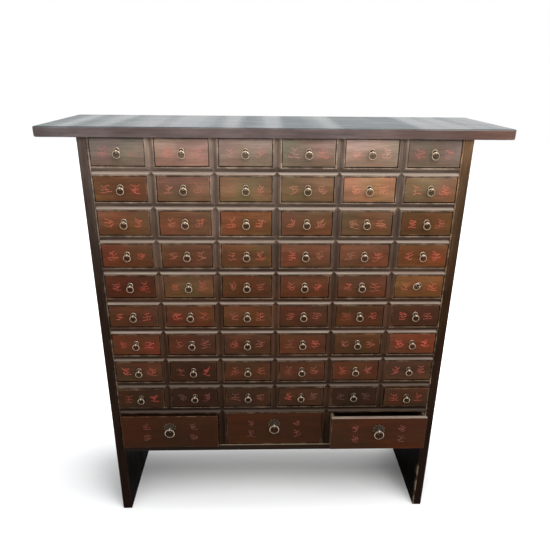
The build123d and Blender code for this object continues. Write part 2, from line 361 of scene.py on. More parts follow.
def moulding(width, sizes):
    """The front of a rail or divider, from one edge to the other.

    Returns the place across and the depth behind the front plane: a small quarter round at each
    edge, the flat lip, and a straight slope down to the hollow's middle, eased where it starts.
    """
    half = width / 2
    steps = np.array([0, 0.25, 0.6, 1.1, 2.2, 3.2, 3.7, 4.4, 5.6, 7.2, 9.0, 10.4, 11.2]) * MM
    steps = steps * half / HALF_DIVIDER
    across = np.concatenate([steps, [half], width - steps[::-1]])
    reach = np.minimum(across, width - across)
    return across, hollow_depth(reach, half, sizes) + quarter_round(reach, 1.0 * MM)


def rubbed_lip(across, width, lip):
    """How much a moulding is rubbed: most on the lip's two corners, less on its flat, not on the slope."""
    reach = np.minimum(across, width - across)
    places = np.array([0.0, 0.6, 1.2, 2.2, 3.1]) * MM
    places = [*places, lip + 0.2 * MM, lip + 0.9 * MM, lip + 2.2 * MM]
    return np.interp(reach, places, (0.1, 0.9, 0.9, 0.42, 0.45, 0.7, 0.3, 0.0))


def return_shade(across, width):
    """The share of the lacquer's lightness along a moulding: dark with painted shade at both edges and on the
    flat returns.
    """
    reach = np.minimum(across, width - across)
    return np.concatenate([np.where(reach < 0.2 * MM, 0.35, 1.0), np.full(4, 0.3)])


def closed_behind(across, depth, width):
    """Outlines of a moulding: its front as places across and depths, then four points on the flat returns."""
    front = np.stack([np.broadcast_to(across, depth.shape), depth], -1)
    back = np.array([[width, 0.4], [width, 1.0], [0.0, 1.0], [0.0, 0.4]]) * np.array([1.0, RAIL_DEPTH])
    return np.concatenate([front, np.broadcast_to(back, (len(depth), 4, 2))], 1)


def leaf(root, tip, width, bend, depth, outward):
    """A brush mark: a thin crowned shape along a bent line from root to tip, in the front's plane.

    Its width follows the sine of the share along it, to the power 0.6, and its back lies flat on the wood.
    """
    across = np.array([-1.0, -0.5, 0.0, 0.5, 1.0, 0.5, 0.0, -0.5])
    crown = np.array([1, 1, 1, 1, 1, 0, 0, 0]) * (1 - 0.9 * across**4)
    along, across = np.meshgrid(np.linspace(0, 1, 8), across, indexing="ij")
    run = np.array(tip) - np.array(root)
    side = np.array([-run[1], run[0]])
    unit = side / np.linalg.norm(side)
    spread = width * np.maximum(np.sin(np.pi * np.clip(along, 0.03, 0.97)), 0.0) ** 0.6 / 2
    flat = np.array(root) + along[..., None] * run
    flat = flat + (bend * np.sin(np.pi * along))[..., None] * side + (spread * across)[..., None] * unit
    points = np.stack([flat[..., 0], depth - outward * crown + 0 * along, flat[..., 1]], -1).reshape(-1, 3)
    faces = grid_faces(8, 8, wrap_columns=True)[:, ::-1].tolist() + [range(8), range(63, 55, -1)]
    return {"points": points, "faces": [tuple(face) for face in faces], "edge": (across**2).reshape(-1)}


def twisted(shape, centre, degrees):
    """The shape turned about the Y axis through centre, clockwise as seen from the front."""
    turn = math.radians(degrees)
    across, up = shape["points"][:, 0] - centre[0], shape["points"][:, 2] - centre[2]
    points = shape["points"].copy()
    points[:, 0] = centre[0] + across * math.cos(turn) + up * math.sin(turn)
    points[:, 2] = centre[2] - across * math.sin(turn) + up * math.cos(turn)
    return {**shape, "points": points}


def new_piece(name, shape, body, nodes, material, tone=None):
    """Put a shape into the scene as a piece that rides on a body and stands for CAD nodes."""
    mesh = bpy.data.meshes.new(name)
    mesh.from_pydata(shape["points"].tolist(), [], shape["faces"])
    mesh.update()
    count = len(shape["points"])
    for value in ("edge", "mark"):
        layer = mesh.attributes.new(value, "FLOAT", "POINT")
        layer.data.foreach_set("value", np.asarray(shape.get(value, np.zeros(count)), np.float32))
    tones = np.ones((count, 4), np.float32)
    if tone is not None:
        tones[:, :3] = tone
    mesh.attributes.new("tone", "FLOAT_COLOR", "POINT").data.foreach_set("color", tones.ravel())
    mesh.polygons.foreach_set("use_smooth", np.full(len(mesh.polygons), True))
    mesh.set_sharp_from_angle(angle=math.radians(38))
    mesh.materials.append(finishes()[material])
    piece = bpy.data.objects.new(name, mesh)
    bpy.context.scene.collection.objects.link(piece)
    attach(piece, body)
    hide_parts(*nodes)


def case_piece(name, shape, material, tone=None, stands_for="drawer_case"):
    """A piece of the cabinet itself, which stands still."""
    new_piece(name, shape, "cabinet", [stands_for], material, tone)


def drawer_piece(drawer, part, shape, material, tone=None):
    """A piece of one drawer, which slides with it."""
    new_piece(f"{drawer.node}_{part}", shape, drawer.node, [drawer.node], material, tone)


def drawer_node(row, column):
    """The CAD node of a small drawer by its row and column, or of a wide one by its place."""
    return f"drawer_wide_{column}" if row == "wide" else f"drawer_r{row}_c{column}"


def openings():
    """The openings of the small drawers, by row and column, and of the wide ones by place.

    Each is (left, right, bottom, top), read from the drawer's box in the frame.
    """
    sizes = bpy.context.scene.cabinet_sizes
    found = {}
    for row in ROW_KEYS:
        for column in range(1, (WIDE_DRAWERS if row == "wide" else COLUMNS) + 1):
            low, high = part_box(drawer_node(row, column))
            bottom, top = low[2] - sizes.running_gap, high[2] + sizes.front_top_gap
            found[row, column] = (low[0] - SIDE_GAP, high[0] + SIDE_GAP, bottom, top)
    return found


def neighbours(holes, row):
    """The openings on the left and right of each divider of a row."""
    count = WIDE_DRAWERS if row == "wide" else COLUMNS
    return [(holes[row, column], holes[row, column + 1]) for column in range(1, count)]


def divider_middles(holes, row):
    """The middle of each divider of a row, across the cabinet."""
    return [(left[1] + right[0]) / 2 for left, right in neighbours(holes, row)]


def drawer_list():
    """Every drawer: its node, row and column, its front board's edges and middle, its box and its pull."""
    sizes = bpy.context.scene.cabinet_sizes
    small_reach = sizes.rosette_rise + 2 * (sizes.ring_wire / 2 + EYE_ROOM)
    wide_reach = sizes.plate_thickness + sizes.boss_rise + 2 * (sizes.wide_ring_wire / 2 + EYE_ROOM)
    drawers = []
    for key, (left, right, bottom, top) in openings().items():
        wide = key[0] == "wide"
        low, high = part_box(drawer_node(*key))
        bottom, top = bottom + sizes.front_bottom_gap, top - sizes.front_top_gap
        left, right = left + SIDE_GAP, right - SIDE_GAP
        drawers.append(SimpleNamespace(
            key=key,
            node=drawer_node(*key),
            wide=wide,
            row=ROWS + 1 if wide else key[0],
            column=key[1] * 2 if wide else key[1],
            left=left,
            right=right,
            x=(left + right) / 2,
            bottom=bottom,
            top=top,
            middle=(bottom + top) / 2,
            face=low[1] + (wide_reach if wide else small_reach),
            box_end=high[1],
            box_bottom=low[2],
            eye=(bottom + top) / 2 + (sizes.wide_eye_place if wide else sizes.eye_place),
            ring=sizes.wide_ring if wide else sizes.ring,
        ))
    return drawers


def faded(value, stops, tones):
    """The colour at a value, on straight lines between the tones at the stops."""
    return np.stack([np.interp(value, stops, channel) for channel in np.array(tones).T], -1)


def tinted(tone, amount, red, green, blue):
    """The tone with each channel raised by its share of an amount, which may differ from point to point."""
    return tone * (1 + np.asarray(amount)[..., None] * np.array([red, green, blue]))


def case_tone(shape):
    """The case's lacquer on a shape: it fades from the low colour to the high one, with painted reflection
    high up and painted shade low down, times its own shade.
    """
    colours = bpy.context.scene.cabinet_colours
    tones = [colours.case_low, colours.case_low, colours.case_middle, colours.case_high]
    tone = faded(shape["points"][:, 2], (0.0, 0.3, 0.75, 1.17), tones)
    return tone * np.reshape(shape.get("shade", 1.0), (-1, 1))


def drawer_tone(row, column):
    """The colour of one drawer's front: greyer high up as a painted reflection, darker low down partly as
    painted shade, and a little of its own.
    """
    rng = np.random.default_rng(1000 + row * 17 + column * 5)
    base = faded(row, *zip(*FADE))
    base = base * rng.uniform(0.88, 1.1) * (0.93 + 0.04 * (column - 1))
    for factors, fronts in ODD_FRONTS:
        if (row, column) in fronts:
            base = base * np.array(factors)
    return base


def fill(tree, made, inputs):
    """Set a node's inputs: another node's output is linked, and a number or colour is set on the socket."""
    for label, value in inputs.items():
        if hasattr(value, "is_output"):
            tree.links.new(value, made.inputs[label])
        else:
            made.inputs[label].default_value = value


def node(tree, kind, inputs, **settings):
    """A new node of a kind with its settings, and its inputs linked or set."""
    made = tree.nodes.new("ShaderNode" + kind)
    for label, value in settings.items():
        setattr(made, label, value)
    fill(tree, made, inputs)
    return made


def calc(tree, operation, *values, clamp=False):
    """The result of a Math node."""
    return node(tree, "Math", dict(enumerate(values)), operation=operation, use_clamp=clamp).outputs[0]


def ramp(tree, value, low, high, out_low=0.0, out_high=1.0):
    """A smooth step: value from low to high gives out_low to out_high."""
    inputs = {"Value": value, "From Min": low, "From Max": high, "To Min": out_low, "To Max": out_high}
    return node(tree, "MapRange", inputs, interpolation_type="SMOOTHSTEP").outputs["Result"]


def mixed(tree, factor, first, second, blend="MIX"):
    """A mix of two colours."""
    inputs = {0: factor, 6: first, 7: second}
    return node(tree, "Mix", inputs, data_type="RGBA", blend_type=blend).outputs[2]


def noise(tree, vector, scale, detail, roughness, distortion=0.0):
    """A noise value at a scale in waves per metre."""
    inputs = {"Vector": vector, "Scale": scale, "Detail": detail, "Roughness": roughness}
    return node(tree, "TexNoise", {**inputs, "Distortion": distortion}).outputs["Fac"]


def stretched(tree, vector, stretch):
    """The vector with each axis scaled: a small number draws the pattern out along that axis."""
    return node(tree, "VectorMath", {0: vector, 1: stretch}, operation="MULTIPLY").outputs[0]


def bump(tree, height, distance, strength):
    """The normal of a surface that a height raises."""
    inputs = {"Height": height, "Distance": distance, "Strength": strength}
    return node(tree, "Bump", inputs).outputs["Normal"]


def begin_group(name, **numbers):
    """A new shader node group that takes a vector and these numbers, and the inputs that it is given."""
    group = bpy.data.node_groups.new(name, "ShaderNodeTree")
    group.interface.new_socket(name="Vector", in_out="INPUT", socket_type="NodeSocketVector")
    for label, default in numbers.items():
        socket = group.interface.new_socket(name=label, in_out="INPUT", socket_type="NodeSocketFloat")
        socket.default_value = default
    return group, group.nodes.new("NodeGroupInput").outputs


def end_group(group, **masks):
    """The group with these masks put out."""
    for label in masks:
        group.interface.new_socket(name=label, in_out="OUTPUT", socket_type="NodeSocketFloat")
    fill(group, group.nodes.new("NodeGroupOutput"), masks)
    return group


def grain_group(name, stretch):
    """Wood grain under lacquer: fine streaks and slow bands, both drawn out along the board."""
    group, given = begin_group(name)
    vector = given["Vector"]
    fine = noise(group, stretched(group, vector, stretch), 260.0, 5.0, 0.6, 0.2)
    slow = noise(group, stretched(group, vector, stretch), 46.0, 3.0, 0.5, 0.6)
    drawn = stretched(group, vector, tuple(value**0.4 for value in stretch))
    return end_group(
        group,
        Streaks=calc(group, "MULTIPLY_ADD", fine, 0.55, calc(group, "MULTIPLY", slow, 0.45)),
        Blotches=noise(group, drawn, 17.0, 5.0, 0.6, 0.3),
        Specks=noise(group, vector, 420.0, 4.0, 0.65),
    )


def wear_group():
    """Edge wear: where the edge value, broken up by noise, passes a threshold."""
    group, given = begin_group("edge wear", Edge=0.0, Amount=0.5)
    coarse = noise(group, given["Vector"], 38.0, 4.0, 0.6)
    fine = noise(group, given["Vector"], 300.0, 4.0, 0.65)
    broken = calc(group, "MULTIPLY_ADD", coarse, 1.5, calc(group, "MULTIPLY", fine, 0.7))
    total = calc(group, "ADD", given["Edge"], calc(group, "SUBTRACT", broken, 1.1))
    total = calc(group, "ADD", total, calc(group, "SUBTRACT", given["Amount"], 0.5))
    return end_group(group, Mask=ramp(group, total, 0.72, 1.02), Soft=ramp(group, total, 0.25, 1.05))


def begin_material(name, grain):
    """A new material's tree and shader, Object coordinates, the mesh's own values and the grain's masks."""
    material = bpy.data.materials.new(name)
    material.use_nodes = True
    tree = material.node_tree
    where = tree.nodes.new("ShaderNodeTexCoord").outputs["Object"]
    own = {}
    for label, output in (("edge", "Fac"), ("mark", "Fac"), ("tone", "Color")):
        own[label] = node(tree, "Attribute", {}, attribute_name=label).outputs[output]
    wood = node(tree, "Group", {"Vector": where}, node_tree=grain).outputs
    return tree, tree.nodes["Principled BSDF"], where, own, wood


def chosen(name):
    """One of the cabinet's colours, with full alpha."""
    return (*getattr(bpy.context.scene.cabinet_colours, name), 1.0)


def lacquer(name, grain, wear, worn_share, gloss, shine, contrast, coat=0.0):
    """Old lacquer over wood: streaked tone, dark blotches, rubbed edges, slopes pale with rubbed dust and
    painted sheen, uneven gloss.

    gloss is the lowest roughness, shine the specular level, contrast how dark the streaks and
    blotches are, and coat the weight of a polished coat that lies in soft bands.
    """
    tree, shader, where, own, wood = begin_material(name, grain)
    inputs = {"Vector": where, "Edge": own["edge"], "Amount": worn_share}
    rubbed = node(tree, "Group", inputs, node_tree=wear).outputs
    shade = ramp(tree, wood["Streaks"], 0.32, 0.66, 1.0 - contrast, 1.0 + contrast * 0.45)
    tone = mixed(tree, 1.0, own["tone"], shade, "MULTIPLY")
    blotch = ramp(tree, wood["Blotches"], 0.38, 0.72, contrast * 1.4, 0.0)
    tone = mixed(tree, blotch, tone, chosen("grime"), "DARKEN")
    # Rubbed dust and painted sheen on the slopes that face up
    dust_and_sheen_share = calc(tree, "MULTIPLY", own["mark"], ramp(tree, wood["Blotches"], 0.25, 0.75, 0.9, 0.5))
    tone = mixed(tree, dust_and_sheen_share, tone, chosen("dust_and_sheen"))
    lighter = mixed(tree, 1.0, own["tone"], (2.7, 2.6, 2.4, 1.0), "MULTIPLY")
    lighter = mixed(tree, 0.3, lighter, chosen("worn"))
    tone = mixed(tree, calc(tree, "MULTIPLY", rubbed["Soft"], 0.22), tone, lighter)
    tone = mixed(tree, calc(tree, "MULTIPLY", rubbed["Mask"], 0.8), tone, lighter)
    tone = mixed(tree, ramp(tree, wood["Specks"], 0.70, 0.76, 0.0, 0.5), tone, lighter)
    rough = ramp(tree, wood["Blotches"], 0.3, 0.75, gloss, gloss + 0.2)
    rough = calc(tree, "MULTIPLY_ADD", rubbed["Mask"], 0.25, rough, clamp=True)
    height = calc(tree, "MULTIPLY_ADD", wood["Streaks"], 0.7, calc(tree, "MULTIPLY", wood["Specks"], 0.3))
    fill(tree, shader, {"Base Color": tone, "Roughness": rough, "Specular IOR Level": shine})
    fill(tree, shader, {"Normal": bump(tree, height, 0.4 * MM, 0.3)})
    if coat:
        bands = noise(tree, stretched(tree, where, (1.0, 0.05, 1.0)), 11.0, 1.0, 0.5)
        polish = ramp(tree, bands, 0.4, 0.6, coat * 0.5, coat * 1.05)
        fill(tree, shader, {"Coat Weight": polish, "Coat Roughness": 0.1})


def bare_wood(name, grain):
    """Unlacquered wood inside the case: streaked, with grey grime, most of it along the joints."""
    tree, shader, _, own, wood = begin_material(name, grain)
    shade = ramp(tree, wood["Streaks"], 0.3, 0.7, 0.5, 1.15)
    tone = mixed(tree, 1.0, chosen("bare"), shade, "MULTIPLY")
    tone = mixed(tree, ramp(tree, wood["Blotches"], 0.35, 0.7, 0.45, 0.0), tone, chosen("grime"))
    tone = mixed(tree, ramp(tree, own["edge"], 0.15, 0.8, 0.0, 0.85), tone, chosen("grime"))
    rough = ramp(tree, wood["Blotches"], 0.3, 0.7, 0.6, 0.82)
    normal = bump(tree, wood["Streaks"], 0.6 * MM, 0.5)
    fill(tree, shader, {"Base Color": tone, "Roughness": rough, "Specular IOR Level": 0.25, "Normal": normal})


def old_brass(name, grain):
    """Old brass: bright where hands rub it, dark with tarnish in the low parts."""
    tree, shader, _, own, wood = begin_material(name, grain)
    specks = calc(tree, "MULTIPLY_ADD", wood["Specks"], 1.2, -0.6)
    bright = calc(tree, "ADD", ramp(tree, own["edge"], 0.15, 0.85), specks)
    tone = mixed(tree, ramp(tree, bright, 0.1, 0.9), chosen("tarnish"), chosen("brass"))
    rough = ramp(tree, bright, 0.1, 0.9, 0.55, 0.3)
    normal = bump(tree, wood["Specks"], 0.15 * MM, 0.4)
    fill(tree, shader, {"Base Color": tone, "Roughness": rough, "Metallic": 0.9, "Normal": normal})


def red_paint(name, grain):
    """Red paint, rubbed through in places to the tone of the drawer under it."""
    tree, shader, _, own, wood = begin_material(name, grain)
    through = calc(tree, "MULTIPLY_ADD", wood["Specks"], 0.8, calc(tree, "MULTIPLY", wood["Blotches"], 0.7))
    through = calc(tree, "MULTIPLY_ADD", own["edge"], 0.12, through)
    warm = mixed(tree, 1.0, own["tone"], (2.1, 1.35, 1.35, 1.0), "MULTIPLY")
    red = mixed(tree, own["mark"], warm, mixed(tree, 0.3, chosen("paint"), warm))
    tone = mixed(tree, ramp(tree, through, 0.76, 0.96), red, own["tone"])
    rough = ramp(tree, wood["Blotches"], 0.3, 0.7, 0.4, 0.6)
    normal = bump(tree, wood["Specks"], 0.1 * MM, 0.3)
    fill(tree, shader, {"Base Color": tone, "Roughness": rough, "Specular IOR Level": 0.35, "Normal": normal})


def finishes():
    """The materials of the cabinet, made at the first call and then found by name."""
    if "lacquer_across" not in bpy.data.materials:
        across = grain_group("grain across", (0.07, 1.0, 1.0))
        upright = grain_group("grain upright", (1.0, 1.0, 0.07))
        wear = wear_group()
        amount = bpy.context.scene.cabinet_colours.wear
        lacquer("lacquer_across", across, wear, amount, gloss=0.36, shine=0.025, contrast=0.35)
        lacquer("lacquer_upright", upright, wear, amount, gloss=0.42, shine=0.004, contrast=0.35)
        lacquer("lacquer_top", across, wear, amount - 0.35, gloss=0.3, shine=0.02, contrast=0.3, coat=0.62)
        lacquer("lacquer_front", across, wear, amount - 0.12, gloss=0.36, shine=0.025, contrast=0.25)
        bare_wood("bare_across", across)
        bare_wood("bare_upright", upright)
        old_brass("brass", across)
        red_paint("paint", across)
    return bpy.data.materials


def seat(x_axis, y_axis, z_axis, place):
    """The matrix of an object whose own axes and place are given in the world."""
    rows = np.column_stack([x_axis, y_axis, z_axis, place]).tolist()
    return Matrix([*rows, [0.0, 0.0, 0.0, 1.0]])


def background_rays(tree):
    """1 for the rays that show the background: from the camera, through glass and off gloss."""
    rays = tree.nodes.new("ShaderNodeLightPath").outputs
    seen = calc(tree, "MAXIMUM", rays["Is Camera Ray"], rays["Is Transmission Ray"])
    return calc(tree, "MAXIMUM", seen, rays["Is Glossy Ray"])


class CABINET_OT_stage(bpy.types.Operator):
    """Set the camera, the lamps, the pale floor and the white surroundings"""

    bl_idname = "cabinet.stage"
    bl_label = "Stage"

    def execute(self, context):
        scene = context.scene
        scene.view_settings.view_transform = "Standard"
        self.camera(scene)
        for lamp in LAMPS:
            self.lamp(scene, *lamp)
        self.surroundings(scene)
        self.floor(scene)
        return {"FINISHED"}

    @staticmethod
    def camera(scene):
        """The photograph's camera: its focal length in pixels, its place, and its turns in degrees."""
        focal, image_width = 514.88, 550
        place = (-0.04202, CASE_FRONT - 1.28847, 1.32829)
        pitch, yaw, roll = (math.radians(v) for v in (21.662, 1.754, 0.605))
        data = bpy.data.cameras.new("camera")
        data.sensor_width = 36.0
        data.lens = focal / image_width * data.sensor_width
        data.dof.use_dof = False
        data.clip_end = 100.0
        camera = bpy.data.objects.new("camera", data)
        ahead = [math.sin(yaw) * math.cos(pitch), math.cos(yaw) * math.cos(pitch), -math.sin(pitch)]
        forward = np.array(ahead)
        level_right = np.array([math.cos(yaw), -math.sin(yaw), 0.0])
        level_up = np.cross(level_right, forward)
        right = math.cos(roll) * level_right + math.sin(roll) * level_up
        up = -math.sin(roll) * level_right + math.cos(roll) * level_up
        camera.matrix_world = seat(right, up, -forward, place)
        scene.collection.objects.link(camera)
        scene.camera = camera

    @staticmethod
    def lamp(scene, name, place, aim, width, height, power):
        """A soft rectangular lamp that faces the cabinet's middle at the height aim."""
        data = bpy.data.lights.new(name, "AREA")
        data.shape = "RECTANGLE"
        data.size, data.size_y, data.energy = width, height, power
        lamp = bpy.data.objects.new(name, data)
        away = np.array(place) - np.array([0.0, 0.0, aim])
        away /= np.linalg.norm(away)
        side = np.cross((0.0, 0.0, 1.0), away)
        side /= np.linalg.norm(side)
        lamp.matrix_world = seat(side, np.cross(away, side), away, place)
        scene.collection.objects.link(lamp)

    @staticmethod
    def surroundings(scene):
        """White where the background is seen, and a faint cool light on the cabinet."""
        world = bpy.data.worlds.new("surroundings")
        world.use_nodes = True
        scene.world = world
        tree = world.node_tree
        tree.nodes.clear()
        seen = node(tree, "Background", {"Color": (1.0, 1.0, 1.0, 1.0)})
        light = node(tree, "Background", {"Color": (0.93, 0.97, 1.0, 1.0), "Strength": 0.3})
        mix = node(tree, "MixShader", {0: background_rays(tree), 1: light.outputs[0], 2: seen.outputs[0]})
        node(tree, "OutputWorld", {0: mix.outputs[0]})

    @staticmethod
    def floor(scene):
        """A pale floor that glows to white away from the cabinet, so that the shade under it stays.

        The glow's distance from the middle counts seven times as much towards the front and back.
        """
        mesh = bpy.data.meshes.new("floor")
        mesh.from_pydata([(-9, -9, 0), (9, -9, 0), (9, 9, 0), (-9, 9, 0)], [], [(0, 1, 2, 3)])
        floor = bpy.data.objects.new("floor", mesh)
        scene.collection.objects.link(floor)
        material = bpy.data.materials.new("floor")
        material.use_nodes = True
        tree = material.node_tree
        shader = tree.nodes["Principled BSDF"]
        grey = (0.8, 0.8, 0.8, 1.0)
        fill(tree, shader, {"Base Color": grey, "Roughness": 0.8, "Specular IOR Level": 0.1})
        where = stretched(tree, tree.nodes.new("ShaderNodeTexCoord").outputs["Object"], (1.0, 7.0, 1.0))
        far = node(tree, "VectorMath", {0: where}, operation="LENGTH")
        strength = ramp(tree, far.outputs["Value"], 0.6, 2.6, 0.02, 1.0)
        glow = node(tree, "Emission", {"Strength": strength})
        add = node(tree, "AddShader", {0: shader.outputs[0], 1: glow.outputs[0]})
        pick = node(tree, "MixShader", {0: background_rays(tree), 1: shader.outputs[0], 2: add.outputs[0]})
        fill(tree, tree.nodes["Material Output"], {0: pick.outputs[0]})
        mesh.materials.append(material)


class CABINET_OT_top(bpy.types.Operator):
    """Build the top board, with eased and rubbed edges"""

    bl_idname = "cabinet.top"
    bl_label = "Top board"

    def execute(self, context):
        shape = block(TOP_LOW, TOP_HIGH, 4.0 * MM, 4.0 * MM, (46, 14, 2), 0.3 * MM, 3)
        shape = rounded_corners(shape, TOP_LOW, TOP_HIGH, 9.0 * MM)
        x, z = shape["points"][:, 0], shape["points"][:, 2]
        left = np.clip((-x - 0.36) / 0.2, 0, 1)
        right = np.clip((x - 0.2) / 0.35, 0, 1)
        upper = np.clip((z - TOP_HIGH[2] + 3.0 * MM) / (2.0 * MM), 0, 1)
        # Painted reflection: the upper face is darker and bluer and the left end bluer; the right end below
        # the upper face is warmer
        tone = tinted(np.array(context.scene.cabinet_colours.top), left, 0.0, 0.1, 0.14)
        tone = tinted(tone, right * (1 - upper), 0.22, -0.15, -0.36)
        tone = tinted(tone, upper, -0.78, -0.45, -0.33)
        shape["edge"] = shape["edge"] * (1 - 0.5 * upper)
        case_piece("top_board_piece", shape, "lacquer_top", tone, "top_board")
        return {"FINISHED"}


class CABINET_OT_sides(bpy.types.Operator):
    """Build the two side boards, each with a fine bead along its inner front edge"""

    bl_idname = "cabinet.sides"
    bl_label = "Side boards"

    def execute(self, context):
        thickness = float(SIDE_HIGH[0]) - CASE_RIGHT
        depth = float(SIDE_HIGH[1] - SIDE_LOW[1])
        height = float(SIDE_HIGH[2]) / MM
        outline, edge = self.outline(thickness, depth)
        places = np.array([0, 0.4, 1.2, 3.0, 7.0, *np.linspace(16, height - 16, 60), height]) * MM
        foot = np.clip(1 - places / (3.0 * MM), 0, 1)[:, None, None]
        inward = np.array([thickness / 2, depth / 2]) - outline
        inward /= np.linalg.norm(inward, axis=1, keepdims=True)
        levels = np.repeat(places[:, None, None], len(outline), 1)
        for side, name in ((-1, "side_board_left"), (1, "side_board_right")):
            sections = outline + inward * foot**2 * 1.6 * MM
            flat = np.concatenate([sections, levels], 2).reshape(-1, 3)
            sections = sections + inward * uneven(flat, 0.35 * MM, 7 + side).reshape(len(places), -1, 1)
            edges = edge * np.interp(places, (0.2, 0.26), (0.3, 0.8))[:, None]
            if side > 0:
                edges = edges + self.chips(places, sections)
            sections[..., 0] = side * (CASE_RIGHT + sections[..., 0])
            sections[..., 1] += CASE_FRONT
            shape = swept(sections, places, 2, edge=edges)
            case_piece(name, shape, "lacquer_upright", self.tone(*shape["points"].T), "side_boards")
        return {"FINISHED"}

    @staticmethod
    def tone(x, y, z):
        """The lacquer on a side board: it fades with height, paler high up as a painted reflection and darker
        low down partly as painted shade, the right board's front is warmer and lighter high up, partly
        painted light, and the legs' inner faces are darkest as painted shade.
        """
        stops = (0.0, 0.28, 0.75, 1.0, 1.17)
        tones = (
            linear(28, 17, 13), linear(34, 22, 16), linear(43, 31, 24), linear(72, 60, 54), linear(92, 78, 72)
        )
        # Partly painted light on the right board's front, high up
        right_front_light = (x > 0) * (y < CASE_FRONT + 2 * MM) * np.interp(z, (0.3, 0.8), (0.0, 1.0))
        tone = tinted(faded(z, stops, tones), right_front_light, 0.4, 0.1, -0.3)
        # Painted shade on the inner faces
        inner_face_shade = (np.abs(x) < CASE_RIGHT + 2 * MM) * (y > CASE_FRONT + 3 * MM)
        return tone * np.where(inner_face_shade, 0.12, 1.0)[:, None]

    @staticmethod
    def chips(places, sections):
        """Chipped lacquer along the leg's inner front edge: three sine waves along z, cut off at a level."""
        waves = sum(np.sin(places * a + b) for a, b in ((210.0, 0.4), (333.0, 2.0), (97.0, 1.1)))
        level = np.clip(waves / 1.2 - 0.1, 0, 1) * np.clip((0.19 - places) / 0.03, 0, 1)
        near = (sections[..., 1] < 14 * MM) * (sections[..., 0] < 5 * MM)
        return level[:, None] * near * 0.9

    @staticmethod
    def outline(thickness, depth):
        """The board's section and its edge value: lip, bead groove, flat front, outer corners, inner face.

        The corners are quarter circles, and the groove falls and rises in a straight line.
        """
        lip, groove, sink, small, large = 3.5 * MM, 3.0 * MM, 1.5 * MM, 0.8 * MM, 4.0 * MM
        turns = np.linspace(0, math.pi / 2, 6).tolist()
        corner = [(1 - math.cos(turn), 1 - math.sin(turn), 0.2 + 0.45 * math.sin(2 * turn)) for turn in turns]
        points = [(small * fall, small * run, 1.0) for fall, run, _ in corner]
        points += [
            (1.8 * MM, 0.0, 1.0),
            (lip - 0.4 * MM, 0.0, 0.9),
            (lip, 0.15 * MM, 0.6),
            (lip + groove / 2, sink, 0.0),
            (lip + groove, 0.15 * MM, 0.55),
            (lip + groove + 0.5 * MM, 0.0, 0.5),
            (lip + groove + 3 * MM, 0.0, 0.1),
            (thickness * 0.55, 0.0, 0.0),
            (thickness - large - 2 * MM, 0.0, 0.15),
        ]
        points += [(thickness - large * run, large * fall, edge) for fall, run, edge in corner]
        points += [(thickness, depth * back, 0.0) for back in (0.06, 0.2, 0.4, 0.6, 0.8, 0.94)]
        points += [(thickness - large * fall, depth - large * run, edge) for fall, run, edge in corner]
        points += [(0.0, depth * 0.98, 0.3)]
        points += [(0.0, depth * back, 0.0) for back in (0.94, 0.8, 0.6, 0.4, 0.2, 0.08, 0.03)]
        points = np.array(points)
        return points[:, :2], points[:, 2]


